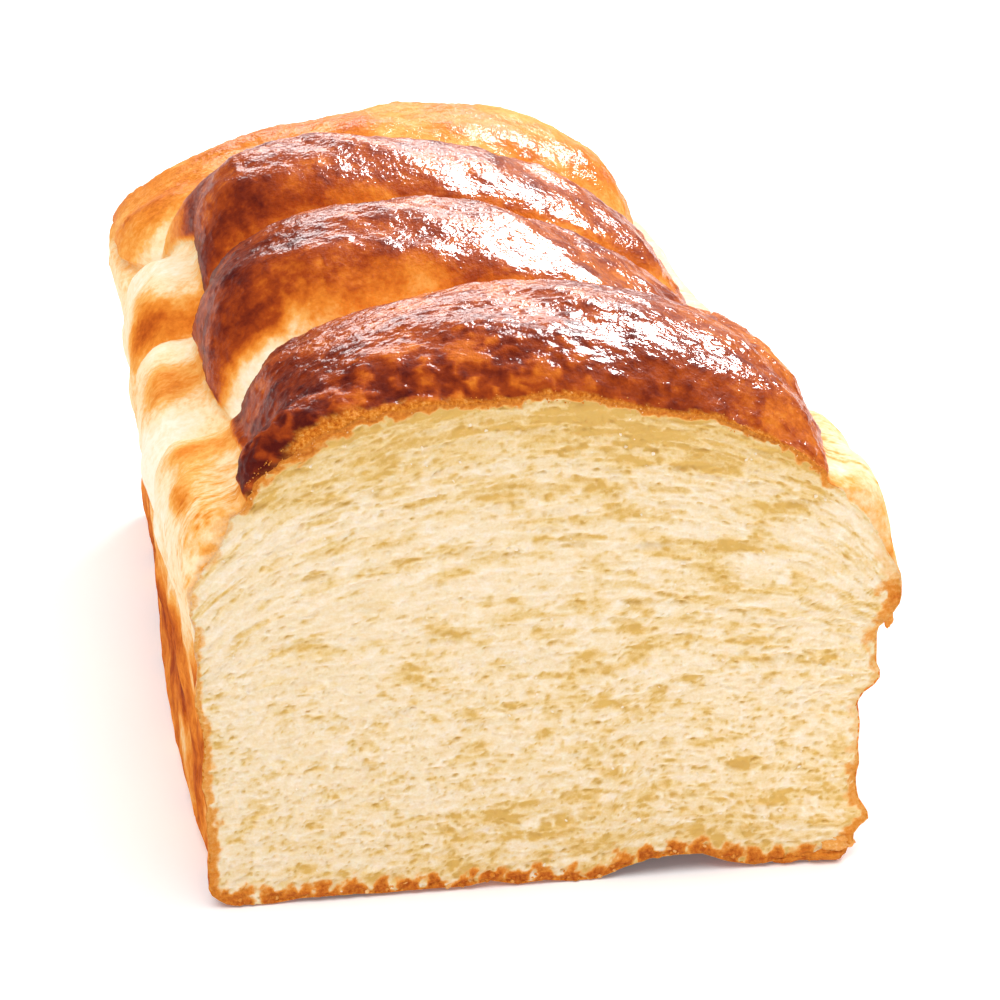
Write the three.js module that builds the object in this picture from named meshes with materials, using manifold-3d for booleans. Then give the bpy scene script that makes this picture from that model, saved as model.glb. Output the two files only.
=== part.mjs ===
// A pan loaf of soft milk bread: four rolls of dough risen side by side into four humps,
// straight tin-baked walls below them, a rounded heel at the back, and the front heel sliced off.
// Millimetres, +Z up. The humps follow one another along Y and the cut face looks towards -Y.
// The origin is the middle of the base, at the height that the loaf rests on.
import * as THREE from 'three';
import { mergeVertices } from 'three/addons/utils/BufferGeometryUtils.js';
import Module from 'manifold-3d';

const wasm = await Module();
wasm.setup();

// ---- Driving dimensions -------------------------------------------------------------------

// Along the loaf, measured from the cut face.
const LOAF_LENGTH = 185;
const REAR_HEEL = 22;
const FRONT_HEEL = 14;

// The tin-baked walls.
const FOOT_HALF = 54.6;
const WAIST_HALF = 54.0;
const BASE_RADIUS = 5;
const CORE_HEIGHT = 42;

// The heels: the power of their rounding on the walls, how much softer it is on the caps, and
// how far the dough stands out over the tin's rim.
const WALL_SQUARENESS = 8;
const CAP_SOFTENING = 4.5;
const RIM_BULGE = { by: 2.5, at: 56, width: 9 };

// The left wall spreads behind the cut and draws in again towards the back.
const LEFT_SPREAD = { by: 1.4, from: 5, to: 45 };
const LEFT_DRAW_IN = { by: 2.4, from: 80, to: 150 };
const RIGHT_DRAW_IN = 0.9;

// Each hump: where its crest lies, how high it is, how much higher (tilt) and further back (skew)
// it gets for each 50 mm towards +X, and, for each side, the half width of its glazed cap, the
// height of the crease under the cap, the power of the cap's rounding, and the shoulder's bulge.
const HUMPS = [
  {
    crest: 25.5, top: 94.0, tilt: 0, skew: 0,
    left: { cap: 47.4, crease: 70.0, power: 1.85, bulge: 3.2, bulgeHeight: 56 },
    right: { cap: 46.8, crease: 70.2, power: 1.95, bulge: 5.4, bulgeHeight: 51.5 },
  },
  {
    crest: 73, top: 94.4, tilt: -5.5, skew: -3.5,
    left: { cap: 47.7, crease: 69.0, power: 2.3, bulge: 2.8, bulgeHeight: 56 },
    right: { cap: 44.4, crease: 66.0, power: 1.5, bulge: 1.5, bulgeHeight: 53 },
  },
  {
    crest: 116, top: 93.8, tilt: -7.0, skew: -6.0,
    left: { cap: 44.5, crease: 75.0, power: 2.7, bulge: 3.4, bulgeHeight: 56.5 },
    right: { cap: 44.6, crease: 63.0, power: 1.9, bulge: 0.9, bulgeHeight: 52.5 },
  },
  {
    crest: 158, top: 89.6, tilt: 1.5, skew: 1.0,
    left: { cap: 57.0, crease: 66.0, power: 1.75, bulge: 4.4, bulgeHeight: 59 },
    right: { cap: 44.3, crease: 63.0, power: 2.15, bulge: 0.3, bulgeHeight: 51.5 },
  },
];
const SKEW_SPAN = 50;
const CREST_REST = 8;

// The folds before, between and behind the humps.
const FOLDS = [
  { at: -3.5, depth: 16.5, skew: 0 },
  { at: 49.5, depth: 14.0, skew: 0 },
  { at: 95, depth: 13.5, skew: -2 },
  { at: 138, depth: 12.5, skew: -2 },
  { at: 190, depth: 15.0, skew: 0 },
];
const HUMP_FULLNESS = 2.3;
const HUMP_ROUNDING = 0.55;

// What a fold takes from the sides: the crease dips, the cap draws in and the bulge thins out.
const FOLD_AT_SIDE = { measuredAt: 45, creaseDip: 5, capDrawIn: 4, capPower: 1.5, bulgeLeft: 0.35 };

// The shoulder: the spread of its bulge below, the power of its rounding above.
const BULGE_SPREAD = 8;
const SHOULDER_POWER = 2.2;
const FOOT_FADE = 25;

// How the outline changes over the last stretch before the cut.
const CUT_STRETCH = 18;
const AT_CUT = {
  left: { cap: 1.3, crease: 3.0, power: 0.5 },
  right: { cap: 0, crease: 1.5, power: -0.5 },
};

// Shares of the half outline: bottom, corner, wall with shoulder, and cap.
const BOTTOM_END = 0.18;
const CORNER_END = 0.24;
const CREASE_AT = 0.58;
const CAP_LIP = 0.8;

// Low relief: the arched underside behind the cut, the wall's baked-in ledge and soft lumps.
const ARCH = { x: 14, halfWidth: 20, height: 3.2, reach: 13 };
const LEDGE = { low: 29, high: 34, by: 1.2 };
const LEFT_LEAN = { low: 10, high: 40, by: 1.6 };
const LUMP_LEAN = { along: 0.6, around: 0.4 };
const LUMPS = [
  { along: 37, around: 46, phase: 0.6, size: 0.5 },
  { along: 23, around: 29, phase: 2.4, size: 0.4 },
  { along: 14, around: 19, phase: 4.1, size: 0.25 },
];

// Facets: rows for each share of the half outline, and rings along the loaf.
const BOTTOM_ROWS = 4;
const CORNER_ROWS = 3;
const WALL_ROWS = 13;
const CAP_ROWS = 14;
const BODY_RINGS = 44;
const REAR_RINGS = 9;
const FRONT_RINGS = 3;

// ---- Small helpers ------------------------------------------------------------------------

const clamp01 = (value) => Math.min(Math.max(value, 0), 1);
const share = (from, to, value) => clamp01((value - from) / (to - from));
const bell = (value, centre, width) => Math.exp(-(((value - centre) / width) ** 2));

function smooth(from, to, value) {
  const t = share(from, to, value);
  return t * t * (3 - 2 * t);
}

// ---- The humps ----------------------------------------------------------------------------

// One side value of the humps at station y: each hump keeps its own, and they blend at the folds.
function along(side, key, y) {
  let value = HUMPS[0][side][key];
  for (let i = 1; i < HUMPS.length; i += 1) {
    const step = HUMPS[i][side][key] - HUMPS[i - 1][side][key];
    value += step * smooth(HUMPS[i - 1].crest + CREST_REST, HUMPS[i].crest - CREST_REST, y);
  }
  return value;
}

// How full the dough is at (x, y), from 0 in a fold to 1 on a crest, with the height of the
// crest there and the depth of the fold that it falls to.
function humpAt(x, y) {
  const lean = x / SKEW_SPAN;
  for (let i = 0; i < HUMPS.length; i += 1) {
    const hump = HUMPS[i];
    const crest = hump.crest + hump.skew * lean;
    const behind = y >= crest ? 1 : 0;
    const fold = FOLDS[i + behind];
    const t = (y - crest) / (fold.at + fold.skew * lean - crest);
    if (t <= 1) {
      const next = HUMPS[Math.min(Math.max(i + 2 * behind - 1, 0), HUMPS.length - 1)];
      const blend = 0.5 * (next.top - hump.top) * t * t;
      const tilt = hump.tilt * lean * (1 - t * t);
      const full = (1 - t ** HUMP_FULLNESS) ** HUMP_ROUNDING;
      return { full, top: hump.top + blend + tilt, depth: fold.depth };
    }
  }
  const outside = y < FOLDS[0].at ? 0 : FOLDS.length - 1;
  const nearest = HUMPS[Math.min(outside, HUMPS.length - 1)];
  return { full: 0, top: nearest.top, depth: FOLDS[outside].depth };
}

// ---- The half outline at one station ------------------------------------------------------

function sideSizes(side, y) {
  const sign = side === 'left' ? -1 : 1;
  const { full } = humpAt(sign * FOLD_AT_SIDE.measuredAt, y);
  const empty = 1 - full;
  const near = 1 - smooth(0, CUT_STRETCH, y);
  const cut = AT_CUT[side];
  const spread = LEFT_SPREAD.by * smooth(LEFT_SPREAD.from, LEFT_SPREAD.to, y);
  const drawIn = LEFT_DRAW_IN.by * smooth(LEFT_DRAW_IN.from, LEFT_DRAW_IN.to, y);
  return {
    sign,
    widen: side === 'left' ? spread - drawIn : -RIGHT_DRAW_IN,
    bulge: along(side, 'bulge', y) * (1 - (1 - FOLD_AT_SIDE.bulgeLeft) * empty),
    bulgeHeight: along(side, 'bulgeHeight', y),
    crease: along(side, 'crease', y) + cut.crease * near - FOLD_AT_SIDE.creaseDip * empty,
    cap: along(side, 'cap', y) + cut.cap * near
      - FOLD_AT_SIDE.capDrawIn * empty ** FOLD_AT_SIDE.capPower,
    power: along(side, 'power', y) + cut.power * near,
  };
}

function bottomPoint(t, size) {
  return [t * (FOOT_HALF + size.widen - BASE_RADIUS), 0];
}

function cornerPoint(t, size) {
  const turn = (t * Math.PI) / 2;
  const inner = FOOT_HALF + size.widen - BASE_RADIUS;
  return [inner + BASE_RADIUS * Math.sin(turn), BASE_RADIUS * (1 - Math.cos(turn))];
}

// Wall from the corner up, then over the shoulder's bulge and in to the crease under the cap.
function wallPoint(t, size) {
  const z = BASE_RADIUS + (size.crease - BASE_RADIUS) * t;
  const foot = (FOOT_HALF - WAIST_HALF) * (1 - smooth(BASE_RADIUS, FOOT_FADE, z));
  const step = size.sign > 0 ? LEDGE : LEFT_LEAN;
  const wall = WAIST_HALF + foot + size.widen + step.by * smooth(step.low, step.high, z);
  if (z < size.bulgeHeight) {
    return [wall + size.bulge * bell(z, size.bulgeHeight, BULGE_SPREAD), z];
  }
  const up = share(size.bulgeHeight, size.crease, z);
  return [size.cap + (wall + size.bulge - size.cap) * Math.sqrt(1 - up ** SHOULDER_POWER), z];
}

// The glazed cap: a superellipse from the crease to the crest, whose height follows the humps.
function capPoint(t, size, y) {
  const turn = (t * Math.PI) / 2;
  const x = (size.cap + CAP_LIP) * Math.max(Math.cos(turn), 0) ** (2 / size.power);
  const { full, top, depth } = humpAt(size.sign * x, y);
  const peak = top - depth * (1 - full);
  return [x, size.crease + (peak - size.crease) * Math.sin(turn) ** (2 / size.power)];
}

// Point of the half outline: h runs from 0 at the bottom's middle to 1 on the ridge.
function outlinePoint(h, side, y) {
  const size = sideSizes(side, y);
  let point = capPoint(share(CREASE_AT, 1, h), size, y);
  if (h <= BOTTOM_END) point = bottomPoint(share(0, BOTTOM_END, h), size);
  else if (h <= CORNER_END) point = cornerPoint(share(BOTTOM_END, CORNER_END, h), size);
  else if (h <= CREASE_AT) point = wallPoint(share(CORNER_END, CREASE_AT, h), size);
  return [size.sign * point[0], point[1]];
}

// ---- The whole skin -----------------------------------------------------------------------

// Soft unevenness of the crust, in and out, gone at the base so that the loaf rests flat.
function lumpAt(x, y, z) {
  let sum = 0;
  for (const lump of LUMPS) {
    const forward = (2 * Math.PI * (y + LUMP_LEAN.along * x)) / lump.along + lump.phase;
    const upward = (2 * Math.PI * (z - LUMP_LEAN.around * x)) / lump.around + 1.7 * lump.phase;
    sum += lump.size * Math.sin(forward) * Math.sin(upward);
  }
  return sum * smooth(BASE_RADIUS, 4 * BASE_RADIUS, z);
}

function archLift(x, y) {
  const across = Math.max(1 - ((x - ARCH.x) / ARCH.halfWidth) ** 2, 0);
  return ARCH.height * across * (1 - smooth(0, ARCH.reach, y));
}

// Point of the skin: v runs from -1 at the front pole over 0 to 1 along the body, to 2 at the back.
function skinPoint(h, side, v) {
  const heel = v < 0 ? FRONT_HEEL : REAR_HEEL;
  const turn = (clamp01(v < 0 ? -v : v - 1) * Math.PI) / 2;
  const squareness = WALL_SQUARENESS - CAP_SOFTENING * smooth(0.5, 0.8, h);
  const grow = Math.sin(turn) ** (2 / squareness);
  const shrink = Math.max(Math.cos(turn), 0) ** (2 / squareness);
  const bodyY = clamp01(v) * (LOAF_LENGTH - REAR_HEEL);
  const y = bodyY + (v < 0 ? -1 : 1) * heel * grow;
  const [x, z] = outlinePoint(h, side, y);
  const swell = 1 + lumpAt(x, y, z) / WAIST_HALF;
  const rise = z > CORE_HEIGHT ? swell : 1;
  const lift = z < BASE_RADIUS ? archLift(x, y) * (1 - z / BASE_RADIUS) : 0;
  const rimBulge = RIM_BULGE.by * bell(z, RIM_BULGE.at, RIM_BULGE.width) * smooth(0, 0.7, turn);
  return new THREE.Vector3(
    x * shrink * swell,
    y + rimBulge * Math.sign(v),
    CORE_HEIGHT + (z - CORE_HEIGHT) * shrink * rise + lift,
  );
}

function rows(count, from, to) {
  return Array.from({ length: count }, (_, i) => from + ((to - from) * i) / count);
}

// The ring of outline parameters: up the right side, and down the left.
function ringParameters() {
  const half = [
    ...rows(BOTTOM_ROWS, 0, BOTTOM_END),
    ...rows(CORNER_ROWS, BOTTOM_END, CORNER_END),
    ...rows(WALL_ROWS, CORNER_END, CREASE_AT),
    ...rows(CAP_ROWS, CREASE_AT, 1),
  ];
  const right = half.map((h) => ({ h, side: 'right' }));
  const left = [...half.slice(1), 1].reverse().map((h) => ({ h, side: 'left' }));
  return [...right, ...left];
}

function stationParameters() {
  const front = rows(FRONT_RINGS, -1, 0).slice(1);
  const rear = rows(REAR_RINGS, 1, 2).slice(1);
  return [...front, ...rows(BODY_RINGS, 0, 1), 1, ...rear];
}

// Closed mesh of the whole loaf: rings of vertices joined by triangles, and a pole at each end.
function wholeLoafGeometry() {
  const ring = ringParameters();
  const stations = stationParameters();
  const points = stations.flatMap((v) => ring.map(({ h, side }) => skinPoint(h, side, v)));
  const frontPole = points.push(skinPoint(0.5, 'right', -1)) - 1;
  const rearPole = points.push(skinPoint(0.5, 'right', 2)) - 1;
  const count = ring.length;
  const last = (stations.length - 1) * count;
  const index = [];
  for (let i = 0; i < count; i += 1) {
    const j = (i + 1) % count;
    index.push(frontPole, i, j, rearPole, last + j, last + i);
    for (let row = 0; row < last; row += count) {
      index.push(row + i, row + count + i, row + count + j, row + i, row + count + j, row + j);
    }
  }
  const geometry = new THREE.BufferGeometry().setFromPoints(points);
  geometry.setIndex(index);
  return geometry;
}

// ---- Slicing off the front heel -----------------------------------------------------------

function toSolid(geometry) {
  const merged = geometry.clone();
  merged.deleteAttribute('normal');
  merged.deleteAttribute('uv');
  const welded = mergeVertices(merged);
  return new wasm.Manifold(new wasm.Mesh({
    numProp: 3,
    vertProperties: new Float32Array(welded.attributes.position.array),
    triVerts: new Uint32Array(welded.index.array),
  }));
}

function toGeometry(solid) {
  const mesh = solid.getMesh();
  const geometry = new THREE.BufferGeometry();
  geometry.setAttribute('position', new THREE.BufferAttribute(mesh.vertProperties, 3));
  geometry.setIndex(new THREE.BufferAttribute(mesh.triVerts, 1));
  geometry.computeVertexNormals();
  return geometry;
}

// The slab that the bread knife takes away: everything in front of y = 0.
function frontSlab() {
  const reach = 200;
  return new THREE.BoxGeometry(reach, reach, reach).translate(0, -reach / 2, CORE_HEIGHT);
}

function cutLoafGeometry() {
  const geometry = toGeometry(toSolid(wholeLoafGeometry()).subtract(toSolid(frontSlab())));
  geometry.computeBoundingBox();
  const { min, max } = geometry.boundingBox;
  return geometry.translate(-(min.x + max.x) / 2, -(min.y + max.y) / 2, -min.z);
}

// ---- The part -----------------------------------------------------------------------------

const crust = new THREE.MeshStandardMaterial({ color: 0xb5622c, roughness: 0.38, metalness: 0 });

const loaf = new THREE.Mesh(cutLoafGeometry(), crust);
loaf.name = 'loaf';

const part = new THREE.Group();
part.add(loaf);

export default part;
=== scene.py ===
# %% [markdown]
# # A cut pan loaf of milk bread
#
# The object is one baked loaf. Four rolls of dough were laid side by side in a straight tin and
# rose into four humps; the tops were brushed with egg, so that they baked glossy and brown; the
# folds between them and the walls stayed pale; and the front heel is sliced off, so the crumb shows.
#
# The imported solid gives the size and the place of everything. Here it is loaded first and
# measured, and everything below is made around it, in its frame: metres, +Z up, the cut face
# towards -Y.

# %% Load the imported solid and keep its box
import math

import bmesh
import bpy
import numpy as np
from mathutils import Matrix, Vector


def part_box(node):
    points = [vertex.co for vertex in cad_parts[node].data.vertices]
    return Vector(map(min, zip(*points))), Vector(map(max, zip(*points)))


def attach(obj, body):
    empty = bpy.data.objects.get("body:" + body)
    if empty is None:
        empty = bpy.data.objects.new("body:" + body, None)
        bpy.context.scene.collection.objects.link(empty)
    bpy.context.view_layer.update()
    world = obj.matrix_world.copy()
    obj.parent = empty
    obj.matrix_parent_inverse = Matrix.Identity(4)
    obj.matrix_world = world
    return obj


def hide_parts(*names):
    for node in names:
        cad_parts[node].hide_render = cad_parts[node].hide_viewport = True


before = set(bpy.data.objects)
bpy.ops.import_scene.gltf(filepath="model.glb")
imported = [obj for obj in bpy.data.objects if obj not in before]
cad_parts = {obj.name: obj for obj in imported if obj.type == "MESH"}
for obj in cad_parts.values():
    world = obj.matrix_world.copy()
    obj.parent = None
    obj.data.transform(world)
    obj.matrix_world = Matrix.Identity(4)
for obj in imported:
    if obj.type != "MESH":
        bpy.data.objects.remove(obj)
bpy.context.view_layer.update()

MM = 0.001
low_corner, high_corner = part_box("loaf")
print("the packed loaf measures", [round(side / MM, 1) for side in high_corner - low_corner], "mm")

# %% [markdown]
# ## The measures of the loaf
#
# The same driving sizes that the solid was made from, in millimetres; only the low arch under the
# cut is narrower here. A hump is given by where its crest lies along the loaf, how high it is, how
# it leans, and what its two sides are like. One could sculpt such a loaf by hand, but with
# formulas the fine skin lies exactly on the solid.

# %% The measures, in millimetres
# The tin: the length behind the cut, the rear heel, half widths at foot and waist, the corner.
LOAF_LENGTH = 185
REAR_HEEL = 22
FOOT_HALF = 54.6
WAIST_HALF = 54.0
BASE_RADIUS = 5
# The heel closes towards this height, by a rounding that is squarer on the walls than on the caps.
CORE_HEIGHT = 42
WALL_SQUARENESS = 8
CAP_SOFTENING = 4.5
# The left wall spreads behind the cut and draws in again towards the back.
LEFT_SPREAD = dict(by=1.4, start=5, end=45)
LEFT_DRAW_IN = dict(by=2.4, start=80, end=150)
RIGHT_DRAW_IN = 0.9

# The crests from front to back: place, height, and their leaning for each SKEW_SPAN to the right.
CREST_AT = [25.5, 73, 116, 158]
CREST_TOP = [94.0, 94.4, 93.8, 89.6]
CREST_TILT = [0, -5.5, -7.0, 1.5]
CREST_SKEW = [0, -3.5, -6.0, 1.0]
SKEW_SPAN = 50
CREST_REST = 8
HUMP_FULLNESS = (2.3, 0.55)
# Each row: the left side's four humps, then the right side's.
CAP_HALF = [[47.4, 47.7, 44.5, 57.0], [46.8, 44.4, 44.6, 44.3]]
CREASE = [[70.0, 69.0, 75.0, 66.0], [70.2, 66.0, 63.0, 63.0]]
CAP_POWER = [[1.85, 2.3, 2.7, 1.75], [1.95, 1.5, 1.9, 2.15]]
BULGE = [[3.2, 2.8, 3.4, 4.4], [5.4, 1.5, 0.9, 0.3]]
BULGE_HEIGHT = [[56, 56, 56.5, 59], [51.5, 53, 52.5, 51.5]]

# The folds before, between and behind the humps.
FOLD_AT = [-3.5, 49.5, 95, 138, 190]
FOLD_DEPTH = [16.5, 14.0, 13.5, 12.5, 15.0]
FOLD_SKEW = [0, 0, -2, -2, 0]
# Folds are judged at the cap's edge. In them the shoulder bulges less, and crease and cap draw in.
CAP_EDGE = 45
IN_THE_FOLDS = dict(bulge=0.65, crease=5, cap=4)
CAP_OVERHANG = 0.8
# How far a wall steps out, and between which heights, as the dough outgrew the tin.
LEDGE = dict(left=(1.6, 10, 40), right=(1.2, 29, 34))
RIM_BULGE = dict(by=2.5, at=56, width=9)
# Near the cut the first cap is wider, creased higher and rounded otherwise, on the left and right.
CUT_STRETCH = 18
CUT_CAP = [1.3, 0]
CUT_CREASE = [3.0, 1.5]
CUT_POWER = [0.5, -0.5]

# Places along the half outline, which runs from 0 to 1: the ends of bottom, corner and wall.
BOTTOM_END = 0.18
CORNER_END = 0.24
CREASE_END = 0.58
ARCH = dict(x=22, half_width=12, height=3.2, reach=13)

print("the loaf has", len(CREST_AT), "humps over", LOAF_LENGTH, "mm")

# %% [markdown]
# ## Small helpers
#
# A smooth step and a bell are enough to blend every size along the loaf. Dough is uneven, so the
# third helper is noise: random numbers sit on the corners of a lattice, and any point takes the
# smooth blend of the eight corners round it. The seeds are fixed, so each run bakes the same loaf.

# %% Smooth steps, bells and noise
def smooth(start, end, value):
    """0 before start, 1 after end, and the cubic 3t^2 - 2t^3 between them."""
    t = np.clip((value - start) / (end - start), 0, 1)
    return t * t * (3 - 2 * t)


def bell(value, centre, width):
    """e to the power of minus the squared distance from the centre, in widths."""
    return np.exp(-((value - centre) / width) ** 2)


LATTICE = 48


def noise(points, size, seed):
    """Lattice noise from -1 to 1: eight corner numbers blended by the smoothed place in the cell."""
    table = np.random.default_rng(seed).random((LATTICE,) * 3) * 2 - 1
    place = points / size
    cell = np.floor(place).astype(int)
    part = place - cell
    part = part * part * (3 - 2 * part)
    total = np.zeros(points.shape[:-1])
    for corner in np.ndindex(2, 2, 2):
        at = (cell + corner) % LATTICE
        weight = np.prod(np.where(corner, part, 1 - part), axis=-1)
        total += weight * table[at[..., 0], at[..., 1], at[..., 2]]
    return total


def layered(points, size, seed, layers=4, gain=0.55):
    """Sum of noises, each half as large and gain times as strong as the one before."""
    return sum(gain**k * noise(points, size / 2**k, seed + k) for k in range(layers))


def colour(words):
    """A colour written as six hexadecimal digits, turned from screen values to linear light."""
    screen = np.array([int(words[k : k + 2], 16) for k in (0, 2, 4)]) / 255
    linear = np.where(screen <= 0.04045, screen / 12.92, ((screen + 0.055) / 1.055) ** 2.4)
    return (*linear, 1.0)


print("noise of the origin:", round(float(noise(np.zeros((1, 3)), 1.0, 7)[0]), 3))

# %% [markdown]
# ## The humps
#
# Each hump is full on its crest and thins towards the folds. The fullness follows
# (1 - t^2.3)^0.55, with t the share of the way from crest to fold: nearly flat on top and steep
# at the fold, as two rolls of dough press against each other. Crest and fold lines lean with x.
# A row of scaled balls would give humps too, but no clean folds between them.

# %% How full the dough is at any place
def hump_at(x, y):
    """Fullness (0 in a fold, 1 on a crest), crest height and fold depth at points (x, y)."""
    x, y = np.broadcast_arrays(np.asarray(x, float), np.asarray(y, float))
    lean = x / SKEW_SPAN
    full, depth = np.zeros(y.shape), np.full(y.shape, float(FOLD_DEPTH[-1]))
    top = np.full(y.shape, float(CREST_TOP[-1]))
    for i in range(len(CREST_AT)):
        crest = CREST_AT[i] + CREST_SKEW[i] * lean
        for behind in (0, 1):
            fold = FOLD_AT[i + behind] + FOLD_SKEW[i + behind] * lean
            t = (y - crest) / (fold - crest)
            here = (t >= 0) & (t <= 1)
            t = np.clip(t, 0, 1)
            beside = CREST_TOP[int(np.clip(i + 2 * behind - 1, 0, 3))]
            height = CREST_TOP[i] + 0.5 * (beside - CREST_TOP[i]) * t**2
            height = height + CREST_TILT[i] * lean * (1 - t**2)
            full = np.where(here, (1 - t ** HUMP_FULLNESS[0]) ** HUMP_FULLNESS[1], full)
            top = np.where(here, height, top)
            depth = np.where(here, FOLD_DEPTH[i + behind], depth)
    return full, top, depth


def along(pair, right, y):
    """One size of the humps at station y: the first hump's, plus a smooth step to each next one's."""
    values = [np.where(right, pair[1][i], pair[0][i]) for i in range(4)]
    blend = values[0] + 0.0 * y
    for i in range(1, 4):
        step = smooth(CREST_AT[i - 1] + CREST_REST, CREST_AT[i] - CREST_REST, y)
        blend = blend + (values[i] - values[i - 1]) * step
    return blend


on_crest, in_fold = (round(float(hump_at(0, y)[0]), 2) for y in (CREST_AT[0], FOLD_AT[1]))
print("fullness on the first crest:", on_crest, "and in the fold behind it:", in_fold)

# %% [markdown]
# ## The outline at one station
#
# Half an outline is walked from the bottom's middle (h = 0) over the corner, the wall, the bulging
# shoulder and the crease to the ridge (h = 1). The cap above the crease is a superellipse, whose
# power says how square it is. Drawn curves for each station would be slower to change than this.

# %% The half outline
def outline(h, right, y):
    """x and z of the half outline at h, on the right or left side, at station y."""
    h, right, y = np.broadcast_arrays(h, right, np.asarray(y, float))
    sign = np.where(right, 1, -1)
    empty = 1 - hump_at(sign * CAP_EDGE, y)[0]
    near = 1 - smooth(0, CUT_STRETCH, y)
    spread = LEFT_SPREAD["by"] * smooth(LEFT_SPREAD["start"], LEFT_SPREAD["end"], y)
    draw_in = LEFT_DRAW_IN["by"] * smooth(LEFT_DRAW_IN["start"], LEFT_DRAW_IN["end"], y)
    widen = np.where(right, -RIGHT_DRAW_IN, spread - draw_in)
    bulge = along(BULGE, right, y) * (1 - IN_THE_FOLDS["bulge"] * empty)
    height = along(BULGE_HEIGHT, right, y)
    crease = along(CREASE, right, y) + np.where(right, CUT_CREASE[1], CUT_CREASE[0]) * near
    crease = crease - IN_THE_FOLDS["crease"] * empty
    cap = along(CAP_HALF, right, y) + np.where(right, CUT_CAP[1], CUT_CAP[0]) * near
    cap = cap - IN_THE_FOLDS["cap"] * empty**1.5
    power = along(CAP_POWER, right, y) + np.where(right, CUT_POWER[1], CUT_POWER[0]) * near

    foot = FOOT_HALF + widen - BASE_RADIUS
    x = np.clip(h / BOTTOM_END, 0, 1) * foot
    z = np.zeros(h.shape)

    turn = np.clip((h - BOTTOM_END) / (CORNER_END - BOTTOM_END), 0, 1) * np.pi / 2
    x = np.where(h > BOTTOM_END, foot + BASE_RADIUS * np.sin(turn), x)
    z = np.where(h > BOTTOM_END, BASE_RADIUS * (1 - np.cos(turn)), z)

    climb = np.clip((h - CORNER_END) / (CREASE_END - CORNER_END), 0, 1)
    wall_z = BASE_RADIUS + (crease - BASE_RADIUS) * climb
    ledges = [by * smooth(start, end, wall_z) for by, start, end in (LEDGE["right"], LEDGE["left"])]
    foot_share = 1 - smooth(BASE_RADIUS, 25, wall_z)
    wall = WAIST_HALF + (FOOT_HALF - WAIST_HALF) * foot_share + widen + np.where(right, *ledges)
    up = np.clip((wall_z - height) / (crease - height), 0, 1)
    shoulder = cap + (wall + bulge - cap) * np.sqrt(1 - up**2.2)
    wall_x = np.where(wall_z < height, wall + bulge * bell(wall_z, height, 8), shoulder)
    x = np.where(h > CORNER_END, wall_x, x)
    z = np.where(h > CORNER_END, wall_z, z)

    turn = np.clip((h - CREASE_END) / (1 - CREASE_END), 0, 1) * np.pi / 2
    cap_x = (cap + CAP_OVERHANG) * np.clip(np.cos(turn), 0, 1) ** (2 / power)
    full, top, depth = hump_at(sign * cap_x, y)
    peak = top - depth * (1 - full)
    x = np.where(h > CREASE_END, cap_x, x)
    z = np.where(h > CREASE_END, crease + (peak - crease) * np.sin(turn) ** (2 / power), z)
    return sign * x, z


print("ridge height at the cut:", round(float(outline(1.0, True, 0.0)[1]), 1), "mm")

# %% [markdown]
# ## The skin
#
# Stations along the loaf carry the outline; behind the last hump it shrinks to a pole by a
# superellipse, which gives the tin's square corners below and the round back of the hump above.
# Broad lumps push the crust in and out a little, and the underside arches up behind the cut.

# %% Points of the skin
LUMPS = [(37, 46, 0.6, 0.5), (23, 29, 2.4, 0.4), (14, 19, 4.1, 0.25)]


def lumps(x, y, z):
    """Sum of crossed sine waves: lengths along and around, a phase and a size for each."""
    total = 0
    for length, height, phase, size in LUMPS:
        forward = 2 * np.pi * (y + 0.6 * x) / length + phase
        upward = 2 * np.pi * (z - 0.4 * x) / height + 1.7 * phase
        total = total + size * np.sin(forward) * np.sin(upward)
    return total * smooth(BASE_RADIUS, 4 * BASE_RADIUS, z)


def skin(h, right, v):
    """Points of the skin: v runs 0 to 1 along the body, and on to 2 at the pole of the heel.

    Behind v = 1 the outline moves back by sin^(2/n) while it shrinks by cos^(2/n).
    """
    h, right, v = np.broadcast_arrays(h, right, v)
    turn = np.clip(v - 1, 0, 1) * np.pi / 2
    square = WALL_SQUARENESS - CAP_SOFTENING * smooth(0.5, 0.8, h)
    grow = np.sin(turn) ** (2 / square)
    shrink = np.clip(np.cos(turn), 0, 1) ** (2 / square)
    y = np.clip(v, 0, 1) * (LOAF_LENGTH - REAR_HEEL) + REAR_HEEL * grow
    x, z = outline(h, right, y)
    swell = 1 + lumps(x, y, z) / WAIST_HALF
    rise = np.where(z > CORE_HEIGHT, swell, 1)
    across = np.clip(1 - ((x - ARCH["x"]) / ARCH["half_width"]) ** 2, 0, 1)
    arch = ARCH["height"] * across * (1 - smooth(0, ARCH["reach"], y))
    lift = np.where(z < BASE_RADIUS, arch * (1 - z / BASE_RADIUS), 0)
    rim = RIM_BULGE["by"] * bell(z, RIM_BULGE["at"], RIM_BULGE["width"]) * smooth(0, 0.7, turn)
    high = CORE_HEIGHT + (z - CORE_HEIGHT) * shrink * rise + lift
    return np.stack([x * shrink * swell, y + rim, high], axis=-1)


def to_frame(points):
    """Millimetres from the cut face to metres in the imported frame."""
    return (points - CENTRE) * MM


coarse_h, coarse_v = np.meshgrid(np.linspace(0, 1, 200), np.linspace(0, 2, 200))
rough = np.concatenate([skin(coarse_h, False, coarse_v), skin(coarse_h, True, coarse_v)])
low, high = rough.reshape(-1, 3).min(0), rough.reshape(-1, 3).max(0)
CENTRE = np.array([(low[0] + high[0]) / 2, (low[1] + high[1]) / 2, 0.0])
print("the skin spans", np.round(high - low, 1), "mm, centre", np.round(CENTRE, 2))

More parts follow.
